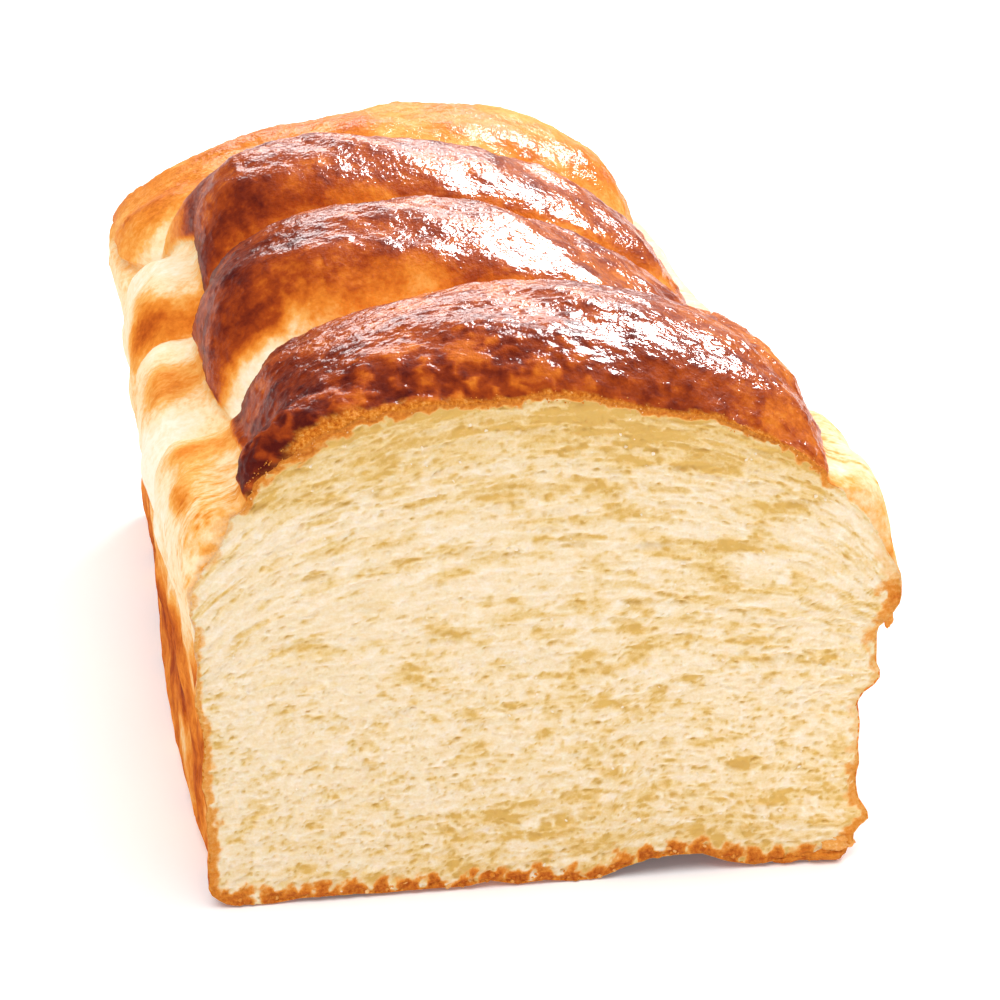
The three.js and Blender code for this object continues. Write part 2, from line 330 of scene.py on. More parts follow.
# %% [markdown]
# ## How toasted the edge of the cut is
#
# Under the glazed cap lies a grainy golden band, one to two and a half millimetres wide; along the
# base it is wider, browner and ragged, and at the fluffy shoulders thin and faint. The knife also
# tore the glaze off a little way behind the cut, so the same golden grain shows on the skin there.
# The band could be painted by hand; rows of widths along the outline follow every change of it.

# %% The toasted band, and the torn strip behind the cut
# Rows of h, band width in millimetres, and strength, on the left and on the right side.
LEFT_BAND = np.array([
    (0, 3.6, 0.75), (0.18, 3.2, 0.7), (0.24, 2.4, 0.55), (0.30, 2.2, 0.45),
    (0.45, 1.6, 0.4), (0.50, 1.6, 0.35), (0.57, 1.4, 0.3), (0.585, 1.4, 0.6),
    (0.62, 2.2, 0.62), (0.75, 2.4, 0.62), (0.9, 1.8, 0.62), (1.0, 1.2, 0.62),
])
RIGHT_BAND = np.array([
    (0, 3.6, 0.75), (0.18, 3.2, 0.7), (0.24, 2.6, 0.55), (0.27, 2.4, 0.45),
    (0.30, 3.0, 0.5), (0.33, 2.0, 0.28), (0.38, 1.8, 0.26), (0.41, 2.2, 0.4),
    (0.44, 2.6, 0.42), (0.465, 4.6, 0.62), (0.49, 3.4, 0.28), (0.57, 1.4, 0.1),
    (0.585, 1.6, 0.6), (0.66, 1.5, 0.62), (0.8, 1.1, 0.62), (1.0, 1.2, 0.62),
])


def by_height(rows, z):
    """The second number of the rows at height z (or at any first number), by straight lines between."""
    return np.interp(z, rows[:, 0], rows[:, 1])


def strength_at(h, right):
    """How strongly the cut's edge is toasted at h: the rows' third number, by straight lines."""
    return np.where(right, by_height(RIGHT_BAND[:, [0, 2]], h), by_height(LEFT_BAND[:, [0, 2]], h))


def torn_of(points, h, right):
    """1 where the knife tore the glaze off, else 0: it falls off over a width made ragged by noise."""
    x, y = points[..., 0], points[..., 1]
    on_cap = smooth(CREASE_END - 0.01, CREASE_END + 0.02, h)
    wider = smooth(5, 36, -x) * (1 - smooth(38, 46, -x))
    width = 0.4 + on_cap * 1.5 * wider + 0.7 * layered(points, 1.5, 13, 3)
    part = smooth(0.1, 0.6, strength_at(h, right)) * (1 - 0.9 * smooth(41, 45, -x) * on_cap)
    return part * (1 - smooth(0.35, 1.1, y / np.maximum(width, 0.3)))


print("the toasted band is", RIGHT_BAND[0, 1], "mm wide along the base")

# %% [markdown]
# ## Where the crust is dark
#
# One number on each point says how far it has baked: 0 is pale dough, 1 is mahogany. The caps are
# brown on their crests and orange in the folds, darkest at the left ends; the last hump stayed
# golden; the walls are pale at the shoulders and amber below, where they touched the tin. The left
# shoulder and the caps also have patches, set one by one where the oven's heat caught or missed them.
# A painted picture could do the same, but it would have to be unwrapped and has one resolution.

# %% Patches
# Patches on the left wall: y and z of the middle, half sizes along and up, and how much darker.
LEFT_PATCHES = [
    (102, 66, 6, 6, 0.58),
    (112, 69, 6, 3, 0.20),
    (71, 66, 9, 5, 0.30),
    (92, 56, 9, 7, 0.12),
    (150, 72, 18, 10, 0.20),
    (176, 60, 12, 16, 0.14),
    (34, 68, 4, 3, 0.22),
    (17, 65, 5, 2, 0.24),
    (58, 53, 10, 10, -0.22),
    (30, 57, 14, 5, -0.10),
    (127, 64, 9, 9, -0.06),
]

# Patches on the caps: x and y of the middle, half sizes across and along, and how much darker.
CAP_PATCHES = [
    (-33, 70, 10, 7, 0.19),
    (-31, 109, 9, 6, -0.08),
    (-42, 98, 8, 9, 0.24),
    (-3, 1, 14, 4, -0.16),
]


def patches(first, second, rows):
    """Sum of round patches: a bell along the first axis times a bell along the second, for each row."""
    return sum(by * bell(first, at, wide) * bell(second, up, tall) for at, up, wide, tall, by in rows)


print("patches:", len(LEFT_PATCHES), "on the left wall and", len(CAP_PATCHES), "on the caps")


# %% Streaks, blisters, knobs and crumples
def streaks(points):
    """Slanting streaks where the dough tore while it rose: a ridge of stretched noise, 0 to 1."""
    x, y, z = np.moveaxis(points, -1, 0)
    slanted = np.stack([(y + 0.9 * z) / 4.0, (y - 1.1 * z) / 0.6, x / 6], axis=-1)
    return smooth(0.10, 0.9, layered(slanted, 2.0, 15, 3))


def blistered(points):
    """How strongly the glaze is blistered, 0 to 1: noise above a threshold, two and four mm wide."""
    wide = smooth(0.20, 0.75, layered(points, 3.4, 31, 2))
    return np.maximum(wide, smooth(0.25, 0.7, layered(points, 1.8, 35, 2)))


def knobbly(points):
    """0 in the hollows of the glaze and 1 on the knobs between them: a smooth step of layered noise."""
    return smooth(-0.35, 0.55, layered(points, 2.3, 21, 3))


def crumpled(points):
    """1 where the first cap crumpled, in front on the left, and 0 elsewhere: two smooth steps."""
    x, y = points[..., 0], points[..., 1]
    return (1 - smooth(9, 20, y - 0.12 * x)) * smooth(-22, 8, -x)


front_left = np.array([-40.0, 0.0, 75.0])
print("at the first cap's left end the crumpling is", round(float(crumpled(front_left)), 2))

# %% The bake of each point
# Between which stations, in millimetres behind the cut, the last hump and the rear end take over.
LAST_HUMP = (134, 143)
REAR_END = (168, 180)


def cap_share(points, h):
    """1 on the glazed caps and 0 on the walls; on the rear end the height decides, not the outline."""
    y, z = points[..., 1], points[..., 2]
    behind = smooth(*REAR_END, y)
    by_place = smooth(CREASE_END, CREASE_END + 0.015, h)
    return by_place + (smooth(60, 66, z) - by_place) * behind


def bake_of(points, h, right):
    """How far the crust has baked, from 0 to 1: a sum of steps, bells and noise, for cap and wall."""
    x, y, z = np.moveaxis(points, -1, 0)
    first = 1 - smooth(CREST_AT[0] - 4, CREST_AT[0] + 2, y)
    last = smooth(*LAST_HUMP, y + 14 * smooth(43, 49, -x))
    full = np.maximum(hump_at(x, y)[0], first)
    mottle = layered(points, 11, 11, 4)
    cap = cap_share(points, h)

    # The caps: orange in the folds, browner on the crests, and most of all on the first one.
    valley = (1 - smooth(0.3, 0.65, full)) * (1 - smooth(66, 78, y))
    on_cap = 0.35 + 0.32 * smooth(0.25, 0.85, full) + 0.07 * first + patches(x, y, CAP_PATCHES)
    # Their left ends are darker; their right ends, the first valley and the last hump are paler.
    on_cap = on_cap + (0.11 + 0.08 * first) * smooth(20, 42, -x) * smooth(0.35, 0.75, full) * (1 - last)
    on_cap = on_cap - 0.10 * smooth(26, 44, x) * (1 - last)
    on_cap = on_cap - 0.48 * smooth(28, 43, -x) * valley - 0.25 * last
    # Mottling, blisters and knobs break the colour up.
    on_cap = on_cap + 0.11 * mottle + 0.10 * (blistered(points) - 0.3) * (1 - last)
    on_cap = on_cap - (0.06 + 0.20 * crumpled(points)) * (knobbly(points) - 0.5) * (1 - last)

    # The walls: amber where they touched the tin, pale above it, a little more baked near the cut.
    amber = 1 - smooth(28, 50, z)
    on_wall = 0.115 + 0.42 * amber * (1 + 0.4 * mottle) + 0.08 * mottle
    fluffy = np.where(right, 0.04, 0.11) * smooth(60, 66, z)
    on_wall = on_wall + (0.02 + fluffy) * (1 - smooth(28, 44, y)) * smooth(44, 54, z)
    on_wall = on_wall + 0.08 * (1 - smooth(1, 6, y)) * smooth(48, 60, z)
    # The left wall's patches, the streaks of torn dough, and the browner underside.
    on_wall = on_wall + np.where(right, 0, patches(y, z, LEFT_PATCHES))
    on_wall = on_wall + 0.22 * streaks(points) * smooth(44, 56, z) * (1 - 0.75 * smooth(16, 30, y))
    under = 1 - smooth(BOTTOM_END - 0.02, BOTTOM_END + 0.03, h)
    on_wall = on_wall + 0.2 * under * (1 - smooth(*REAR_END, y))
    return np.clip(on_wall + (on_cap - on_wall) * cap, 0, 1)


def glaze_of(points, h):
    """Thickness of the egg glaze, 0 to 1: the caps' share, less where they crumpled or stayed pale."""
    x, y = points[..., 0], points[..., 1]
    thinner = (1 - 0.6 * crumpled(points)) * (1 - 0.5 * smooth(34, 44, -x))
    thinner = thinner * (1 - 0.5 * smooth(*LAST_HUMP, y))
    return cap_share(points, h) * thinner


first_crest = np.array([0.0, CREST_AT[0], CREST_TOP[0]])
print("the first crest is baked to", round(float(bake_of(first_crest, 1.0, True)), 2))

# %% [markdown]
# ## The crust's fine relief
#
# The glazed caps are knobbly, with blisters two to four millimetres wide, and in front on the left
# the first one is crumpled. Under the caps' edges runs a crevice, and the walls have pits and the
# flat wrinkles of the tin. All of it is a height added along the surface normal: real geometry,
# because a bump in the finish alone would leave the outline and the reflections smooth.

# %% The relief and the normals
# The depth in millimetres, and the width as a share of the half outline.
CREVICE_DEPTH = 1.4
CREVICE_WIDTH = 0.008


def grid_normals(points):
    """Unit normals of a grid closed along its second axis: the cross product of its two directions."""
    forward = np.gradient(points, axis=0)
    around = np.roll(points, -1, axis=1) - np.roll(points, 1, axis=1)
    normal = np.cross(forward, around)
    return normal / (np.linalg.norm(normal, axis=-1, keepdims=True) + 1e-9)


def relief_of(points, h, right):
    """Height of the fine relief in millimetres: a weighted sum of noises, for cap and wall."""
    y, z = points[..., 1], points[..., 2]
    cap = cap_share(points, h)
    rugged = crumpled(points)
    # The caps: broad swelling, knobs, blisters, crumples, a fine skin, and grain where it is torn.
    swell = layered(points, 9.0, 20, 2)
    fine = layered(points, 1.3, 33, 2)
    crumples = layered(points, 5.2, 23, 2)
    on_cap = 0.35 * swell + (0.10 + 0.26 * rugged) * knobbly(points) + 0.22 * blistered(points)
    on_cap = on_cap + 0.28 * rugged * crumples + 0.06 * fine
    on_cap = on_cap + 0.25 * torn_of(points, h, right) * layered(points, 0.9, 37, 2)
    # The walls: flat wrinkles and pits; and nothing stands out where the loaf rests.
    flat = layered(points * [1.0, 0.6, 1.7], 7.0, 41, 3)
    pits = np.clip(layered(points, 2.4, 51, 2) - 0.6, 0, 1)
    on_wall = 0.28 * flat - 0.7 * pits
    crevice = -CREVICE_DEPTH * bell(h, CREASE_END - 0.004, CREVICE_WIDTH) * (1 - smooth(164, 174, y))
    resting = smooth(0.5, 4.0, z)
    return (on_wall + (on_cap - on_wall) * cap + crevice) * resting


print("the crevice under the caps' edges is", CREVICE_DEPTH, "mm deep")

# %% [markdown]
# ## A mesh from a grid
#
# The grid runs along the loaf and round it. Its quads are counted up as whole arrays, the rear
# end closes on a pole, and in front a thin rim turns in over a shallow recess that the crumb fills.
# Shading is smooth, save where the skin turns sharply, as it does at the cut.

# %% Making a mesh object out of points and faces
def mesh_object(name, points, faces, numbers):
    """A smooth-shaded object from points in millimetres, lists of faces, and numbers by name."""
    mesh = bpy.data.meshes.new(name)
    mesh.from_pydata(to_frame(points).tolist(), [], [face for part in faces for face in part.tolist()])
    for label, values in numbers.items():
        layer = mesh.attributes.new(label, "FLOAT", "POINT")
        layer.data.foreach_set("value", np.asarray(values, np.float32).ravel())
    mesh.shade_smooth()
    mesh.set_sharp_from_angle(angle=math.radians(60))
    made = bpy.data.objects.new(name, mesh)
    bpy.context.scene.collection.objects.link(made)
    triangles = sum(len(part) * (part.shape[1] - 2) for part in faces)
    print(name, "has", len(points), "points and", triangles, "triangles")
    return made


def band(first, second, count):
    """Quads between two closed rings of count points, whose first points have these numbers."""
    i = np.arange(count)
    j = (i + 1) % count
    return np.stack([first + i, second + i, second + j, first + j], axis=-1)


# %% The crust's grid
def crust_rows():
    """Places along the skin: close together on the first hump, wider apart behind it."""
    body = LOAF_LENGTH - REAR_HEEL
    near = np.arange(0, 46, 0.40)
    middle = np.arange(46, 100, 0.80)
    far = np.arange(100, body, 1.1)
    heel = 1 + np.linspace(0, 0.985, 30)
    return np.concatenate([near / body, middle / body, far / body, heel])


def crust_columns():
    """The ring of outline places: up the right side and down the left."""
    half = np.concatenate([
        np.linspace(0, BOTTOM_END, 12)[:-1],
        np.linspace(BOTTOM_END, CORNER_END, 7)[:-1],
        np.linspace(CORNER_END, CREASE_END - 0.02, 48)[:-1],
        np.linspace(CREASE_END - 0.02, CREASE_END + 0.03, 14)[:-1],
        np.linspace(CREASE_END + 0.03, 1, 97)[:-1],
    ])
    left = np.append(half[1:], 1.0)[::-1]
    ring = np.concatenate([half, left])
    side = np.concatenate([np.ones(len(half), bool), np.zeros(len(left), bool)])
    return ring, side


ring_h, ring_right = crust_columns()
grid_h, grid_v = np.meshgrid(ring_h, crust_rows())
grid_right = np.broadcast_to(ring_right, grid_h.shape)
plain = skin(grid_h, grid_right, grid_v)
print("the crust's grid is", plain.shape[0], "by", plain.shape[1])

# %% [markdown]
# ## The torn edge of the cut
#
# The knife dragged on the soft walls. Tables give, by height, how far the cut's edge lies outside
# (or, below 0, inside) the plain outline: on the right an overhanging tip, a step and a flap at the
# foot. The shoulders, being fluffy, are rounded off into the face instead of ending sharply, and
# the first cap's left end is tucked in and ends in a round nose.

# %% The moves of the cut's edge
# Rows of height and outward move, in millimetres.
RIGHT_TEAR = np.array([
    (0, -1.0), (5.2, -1.5), (6.2, -0.6), (7.9, 1.4), (9.5, 0.6), (11.1, -0.5), (17.5, -0.8), (31.2, -0.6),
    (32.4, 1.3), (39.9, 0.8), (42.8, 0.5), (43.8, 2.0), (46, 2.1), (48.4, 1.6), (53, 0.6), (58, 0.2),
])
LEFT_TEAR = np.array([
    (0, 0.6), (2.3, 1.0), (12.6, 0.8), (24.4, 0.5), (41.6, 0.3), (47.8, 0.7), (54, 0.0),
])
LEFT_CAP_ROUND = np.array([(68, 0.4), (70, 0.8), (76, 2.6), (81, 2.8), (85, 1.0), (89, 0)])
RIGHT_ROUND = np.array([(50, 0), (53.8, 1.0), (56.5, 1.9), (61, 3.3), (64.7, 3.9), (70, 3.4)])
LEFT_ROUND = np.array([(50, 0), (56, 0.7), (58.8, 2.3), (60.4, 3.0), (62.8, 4.0), (66.1, 4.1), (70, 3.6)])
TEAR_REACH = 8
ROUND_REACH = 5
CAP_ROUND_REACH = 8

print("the shoulder's tip stands out by", RIGHT_TEAR[:, 1].max(), "mm")


# %% Moving the edge
def torn_edge(points, h, right):
    """Outward moves in millimetres: table and noise, less a quarter round, fading behind the cut."""
    y, z = points[..., 1], points[..., 2]
    tear = np.where(right, by_height(RIGHT_TEAR, z), by_height(LEFT_TEAR, z))
    tear = tear * (1 - smooth(1, TEAR_REACH, y))
    ragged = 0.35 * layered(points * [0.2, 1, 1], 2.6, 61, 3) * (1 - smooth(0, 3, y))
    turn = np.clip(1 - y / ROUND_REACH, 0, 1)
    inside = np.where(right, by_height(RIGHT_ROUND, z), by_height(LEFT_ROUND, z))
    inside = inside * (1 - np.sqrt(1 - turn**2))
    wall = smooth(BOTTOM_END, BOTTOM_END + 0.02, h) * (1 - smooth(CREASE_END - 0.02, CREASE_END, h))
    return (tear + ragged - inside) * wall


def tucked_end(points, h, right):
    """Moves to the right in millimetres: the first cap's left end hangs less, and rounds off in front."""
    x, y, z = np.moveaxis(points, -1, 0)
    end = smooth(CREASE_END - 0.02, CREASE_END + 0.03, h) * (1 - smooth(0.64, 0.76, h))
    hang = 3.2 * end * smooth(6, 20, y) * (1 - smooth(42, 54, y))
    turn = np.clip(1 - y / CAP_ROUND_REACH, 0, 1)
    nose = by_height(LEFT_CAP_ROUND, z) * (1 - np.sqrt(1 - turn**2))
    nose = nose * smooth(CREASE_END, CREASE_END + 0.02, h)
    return np.where(right, 0, hang + nose * smooth(20, 34, -x))


def ragged_base(points, h):
    """Upward moves in millimetres of the torn crust under the cut: teeth, scallops and two notches."""
    x, y = points[..., 0], points[..., 1]
    teeth = np.clip(layered(points * [1, 0.3, 0], 2.0, 63, 3), 0, 1)
    scallops = np.abs(layered(points * [1, 0.3, 0], 6.5, 66, 2))
    notches = 2.2 * bell(x, -38.7, 1.3) + 1.3 * bell(x, -10.5, 2.0)
    flat = 1 - smooth(BOTTOM_END - 0.01, BOTTOM_END + 0.02, h)
    return (0.5 * teeth + 0.7 * scallops + notches) * flat * (1 - smooth(0.5, 4, y))


# %% The crust's points and numbers
normals = grid_normals(plain)
crust_points = plain + normals * relief_of(plain, grid_h, grid_right)[..., None]
crust_points[..., 0] += np.where(grid_right, 1.0, -1.0) * torn_edge(plain, grid_h, grid_right)
crust_points[..., 0] += tucked_end(plain, grid_h, grid_right)
crust_points[..., 2] += ragged_base(plain, grid_h)
crust_points[..., 2] = np.maximum(crust_points[..., 2], 0)
crust_points[0, :, 1] = 0.0
crust_bake = bake_of(plain, grid_h, grid_right)
crust_torn = torn_of(plain, grid_h, grid_right)
crust_glaze = glaze_of(plain, grid_h) * smooth(0.25, 0.5, crust_bake) * (1 - crust_torn)
palest, darkest = (round(float(value), 2) for value in (crust_bake.min(), crust_bake.max()))
print("the crust is baked from", palest, "to", darkest)

# %% [markdown]
# ## The crust piece
#
# The rim is as thin as the glazed skin of such bread, about a quarter of a millimetre. It is made
# by moving the cut's outline inwards along its own normal in the plane of the cut. The recess
# behind it narrows with its depth, so that the slab of crumb in it stays clear of the tucked-in
# skin. A Solidify modifier would give a wall too, but not this recess.

# %% Rim, recess and poles
RIM = 0.28
RECESS = 6.0
BEVEL = 0.012


def inward(ring, distance):
    """A closed ring in the cut plane moved inwards by a distance along its normals."""
    run = np.roll(ring, -1, axis=0) - np.roll(ring, 1, axis=0)
    normal = np.stack([-run[:, 2], 0 * run[:, 0], run[:, 0]], axis=-1)
    normal /= np.linalg.norm(normal, axis=-1, keepdims=True) + 1e-9
    return ring + normal * distance


def bevelled(ring, depth):
    """The same ring that deep behind the cut, scaled towards the slice's middle by BEVEL for each mm."""
    middle = np.array([0, 0, CORE_HEIGHT])
    share = 1 - BEVEL * depth
    return (ring * [1, 0, 1] - middle) * share + middle + [0, depth, 0]


# %% The crust piece
rows, count = plain.shape[:2]
outer_ring = crust_points[0]
rim_ring = inward(outer_ring, RIM)
recess_ring = bevelled(rim_ring, RECESS)
rear_pole = skin(0.5, True, 2.0)
front_pole = np.array([0, RECESS, CORE_HEIGHT])
stack = np.concatenate([crust_points.reshape(-1, 3), rim_ring, recess_ring, [rear_pole, front_pole]])
rim_at = rows * count
recess_at = rim_at + count
rear_at = recess_at + count
i = np.arange(count)
j = (i + 1) % count
skin_quads = np.concatenate([band(k * count, (k + 1) * count, count) for k in range(rows - 1)])
rim_quads = np.concatenate([band(rim_at, 0, count), band(recess_at, rim_at, count)])
last_row = (rows - 1) * count
rear_fan = np.stack([np.full(count, rear_at), last_row + j, last_row + i], axis=-1)
front_fan = np.stack([recess_at + i, recess_at + j, np.full(count, rear_at + 1)], axis=-1)
rim_bake = 0.6 * crust_bake[0]
bake = np.concatenate([crust_bake.ravel(), rim_bake, rim_bake, [crust_bake[-1].mean(), 0]])
torn = np.concatenate([crust_torn.ravel(), crust_torn[0], crust_torn[0], [0, 1]])
glaze = np.concatenate([crust_glaze.ravel(), np.zeros(2 * count), [crust_glaze[-1].mean(), 0]])
crust_numbers = {"bake": bake, "torn": torn, "glaze": glaze}
crust = mesh_object("crust", stack, [skin_quads, rim_quads, rear_fan, front_fan], crust_numbers)

# %% [markdown]
# ## The crumb
#
# The cut face is its own closed slab, let into the recess. Its front is one fine grid: four edges
# of the cut's outline are blended across it (a Coons patch), so the rows follow the dome above
# and lie flat below, as the stretched dough does. Triangles fanned from the middle would have been
# simpler, but too coarse at the edge and too fine in the middle.

# %% The four edges of the cut face
FACE_COLUMNS = 341
FACE_ROWS = 281
FACE_CORNER = (BOTTOM_END + CORNER_END) / 2
FACE_TOP = 0.77
LET_IN = 0.06


def by_length(line, count):
    """The same line with count points spaced evenly along its length."""
    step = np.linalg.norm(np.diff(line, axis=0), axis=1)
    length = np.concatenate([[0], np.cumsum(step)])
    want = np.linspace(0, length[-1], count)
    return np.stack([np.interp(want, length, line[:, k]) for k in range(line.shape[1])], axis=-1)


def cut_side(start, end, right):
    """Points a little inside the crust's front ring, between two places of the half outline."""
    pick = (ring_right == right) & (ring_h >= start) & (ring_h <= end)
    order = np.argsort(ring_h[pick])
    return inward(outer_ring, LET_IN)[pick][order]


left_edge = by_length(cut_side(FACE_CORNER, FACE_TOP, False), FACE_ROWS)
right_edge = by_length(cut_side(FACE_CORNER, FACE_TOP, True), FACE_ROWS)
bottom = np.concatenate([cut_side(0.001, FACE_CORNER, False)[::-1], cut_side(0, FACE_CORNER, True)])
dome = np.concatenate([cut_side(FACE_TOP, 1, False), cut_side(FACE_TOP, 0.999, True)[::-1]])
bottom[0], bottom[-1] = left_edge[0], right_edge[0]
dome[0], dome[-1] = left_edge[-1], right_edge[-1]
bottom_edge, top_edge = by_length(bottom, FACE_COLUMNS), by_length(dome, FACE_COLUMNS)
print("the cut is", round(float(np.ptp(bottom_edge[:, 0])), 1), "mm wide at its base")


# %% The patch between the edges
def coons(low_edge, high_edge, first_edge, last_edge):
    """Surface between four edges: both pairs blended across, less the blend of the corners."""
    u = np.linspace(0, 1, len(low_edge))[None, :, None]
    t = np.linspace(0, 1, len(first_edge))[:, None, None]
    across = (1 - t) * low_edge[None] + t * high_edge[None]
    upward = (1 - u) * first_edge[:, None] + u * last_edge[:, None]
    corners = (1 - t) * ((1 - u) * low_edge[0] + u * low_edge[-1])
    corners = corners + t * ((1 - u) * high_edge[0] + u * high_edge[-1])
    return across + upward - corners


face = coons(bottom_edge, top_edge, left_edge, right_edge)
print("the cut face is", face.shape[1], "by", face.shape[0], "points")

# %% [markdown]
# ## Pores
#
# Gas bubbles in rolled dough are drawn out along the rolls, so everything here is laid in a
# stretched lattice that bends upwards in the middle. Three things make the crumb: soft uneven
# hollows (noise above a threshold), small clear pores (one centre in each cell, in a share of the
# cells), and fibres between them (thin ridges of the same noise). The largest pores are listed one
# by one. A volume full of bubbles would be truer, but slow, and only its cut would ever be seen.

# %% The pores
# The largest pores: x and z of the middle, half width and half height, all in millimetres.
LARGE_PORES = [
    (-8.5, 59, 8.0, 1.5), (4.8, 60.5, 3.6, 1.8), (17.3, 59.1, 3.8, 1.3), (29.8, 57.6, 5.8, 1.5),
    (-17, 45.5, 4.2, 1.6), (15.9, 49.2, 4.2, 1.1), (-39, 44.6, 3.0, 1.9), (-28.2, 51.1, 3.8, 1.3),
    (-24.2, 32.7, 2.4, 1.4), (-23, 58.7, 2.4, 1.8), (39.4, 37.5, 6.5, 1.6), (-28.1, 23, 2.1, 1.5),
    (-42.1, 32.6, 1.6, 2.4), (33.2, 19.2, 3.4, 0.8), (-36.9, 57.6, 2.0, 1.5), (11.3, 68.1, 1.7, 1.3),
    (22.6, 71.9, 3.8, 0.9), (-31.9, 69, 3.4, 1.3), (41.5, 64.5, 3.4, 0.9), (-46.2, 69.6, 1.7, 1.1),
]


def nearest(across, up, seed):
    """Distance to the nearest of scattered centres, one for each unit square, and its number."""
    table = np.random.default_rng(seed).random((64, 64, 3))
    column, row = np.floor(across).astype(int), np.floor(up).astype(int)
    best, number = np.full(across.shape, 9.0), np.zeros(across.shape)
    for over, above in ((a, b) for a in (-1, 0, 1) for b in (-1, 0, 1)):
        pick = table[(column + over) % 64, (row + above) % 64]
        gap = np.hypot(column + over + pick[..., 0] - across, row + above + pick[..., 1] - up)
        number = np.where(gap < best, pick[..., 2], number)
        best = np.minimum(gap, best)
    return best, number


def pores(x, z, width, height, share, seed):
    """Depth from 0 to 1 of small lens-shaped pores of one size, in a share of the cells."""
    spread, number = nearest(x / width, z / height, seed)
    radius = 0.22 + 0.34 * np.clip(number / share, 0, 1)
    return np.where(number < share, smooth(0, 1, 1 - spread / radius), 0)


def placed_pores(x, z, rough):
    """Depth from 0 to 1 of the listed pores: (1 - r^2), r made uneven by the rough noise."""
    depth = np.zeros(x.shape)
    for at_x, at_z, wide, tall in LARGE_PORES:
        r = np.hypot((x - at_x) / wide, (z - at_z) / tall) * (1 + 0.45 * rough)
        depth = np.maximum(depth, np.clip(1 - r**2, 0, 1))
    return depth


print("pores placed by hand:", len(LARGE_PORES))


# %% Hollows, colour and fibre of the crumb
def crumb_fields(points):
    """Depth of the hollows in mm, yellowness with painted shade in the hollows, and fibre of each place:
    weighted sums of the fields.
    """
    x, z = points[..., 0], points[..., 2]
    # The stretched lattice: bent up in the middle, turned along the sides, warped by noise.
    bend = 0.0010 + 0.0042 * smooth(20, 80, z)
    side = np.clip(np.abs(x) - 40, 0, 20) * smooth(20, 50, z)
    warp = layered(points * [0.6, 1, 1.4], 6.0, 71, 3)
    warp_up = layered(points * [0.5, 1, 1.2], 5.0, 81, 3)
    flow_x, flow_z = x + 0.9 * warp, z + bend * x**2 + 0.03 * side**2 + 0.4 * warp_up
    high = smooth(26, 54, z)
    stretch = 1.5 + 1.1 * high
    laid = np.stack([flow_x / stretch, 0 * x, flow_z], axis=-1)
    # The fields: hollows, pores of two sizes, fibres, the pores set by hand, and a veil of colour.
    uneven = smooth(-0.10, 0.85, layered(laid, 1.9, 101, 3))
    small = pores(flow_x + 0.2 * warp_up, flow_z + 0.15 * warp, 2.4, 1.4, 0.5, 93)
    tiny = pores(flow_x, flow_z, 1.3, 0.9, 0.55, 94) * (1.2 - 0.5 * high)
    fibre = (1 - np.abs(layered(laid * [0.55, 1, 1], 1.5, 105, 2))) ** 4
    placed = placed_pores(x, z, layered(laid, 1.8, 97, 3))
    veil = layered(laid * [0.45, 1, 1.0], 1.5, 111, 4)
    # Painted shade yellows the hollows and a painted highlight whitens the fibres; the crumb is also
    # yellower under the cap and near the base.
    yellow_and_pore_shade = 0.55 * uneven + 0.60 * small + 0.62 * tiny + 0.38 * placed**0.8
    low = (1 - smooth(6, 30, z)) * (1 - 0.7 * smooth(10, 35, -x))
    yellow_and_pore_shade = yellow_and_pore_shade + 0.40 * veil - 0.30 * fibre + 0.34 * smooth(60, 86, z) + 0.32 * low
    yellow_and_pore_shade = yellow_and_pore_shade - 0.22 * smooth(10, 45, -x) * (1 - smooth(60, 74, z))
    depth = 0.20 * uneven + 0.28 * small + 0.20 * tiny + 0.55 * placed**0.8 - 0.20 * fibre - 0.16 * veil
    return depth, np.clip(yellow_and_pore_shade, 0, 1.2), fibre


depth, yellow_and_pore_shade, fibre = crumb_fields(face)
print("hollows are up to", round(float(depth.max()), 1), "mm deep")

# %% [markdown]
# ## The toasted band on the face
#
# Each point of the face looks up its nearest place on the outline, and takes that place's width
# and strength of toasting, which fade inwards with a grainy edge. Under the glaze the crumb stays
# yellow for some millimetres more.

# %% Toast by the distance to the outline
def toast_of(points, ring):
    """Toastedness from 0 to 1: strength times a smooth fall over the band's width from the ring."""
    flat, found = points.reshape(-1, 3)[:, [0, 2]], []
    for batch in np.array_split(flat, 60):
        square = ((batch[:, None] - ring[None, :, [0, 2]]) ** 2).sum(-1)
        found.append(np.stack([square.argmin(1), np.sqrt(square.min(1))], axis=-1))
    found = np.concatenate(found).reshape(*points.shape[:-1], 2)
    at, gap = found[..., 0].astype(int), found[..., 1]
    h, right = ring_h[at], ring_right[at]
    width = np.where(right, by_height(RIGHT_BAND, h), by_height(LEFT_BAND, h))
    strength = strength_at(h, right)
    grain = 1 + 0.55 * layered(points, 1.7, 107, 3)
    return strength * (1 - smooth(0.4, 1, gap / (width * grain + 0.1))), gap


toast, edge_gap = toast_of(face, outer_ring)
yellow_and_pore_shade = yellow_and_pore_shade + 0.48 * (1 - smooth(0.5, 15, edge_gap)) * smooth(64, 72, face[..., 2])
front = face.copy()
flaking = np.abs(layered(face * [0.6, 1, 1.3], 1.5, 113, 3))
rough_y = 0.12 * layered(face, 1.1, 109, 2) - 0.6 * toast * flaking
sunk = 0.15 + depth * smooth(0.2, 1.6, edge_gap) + rough_y
front[..., 1] = np.clip(sunk * smooth(0, 0.8, edge_gap) - 0.04, -0.5, 4.5)

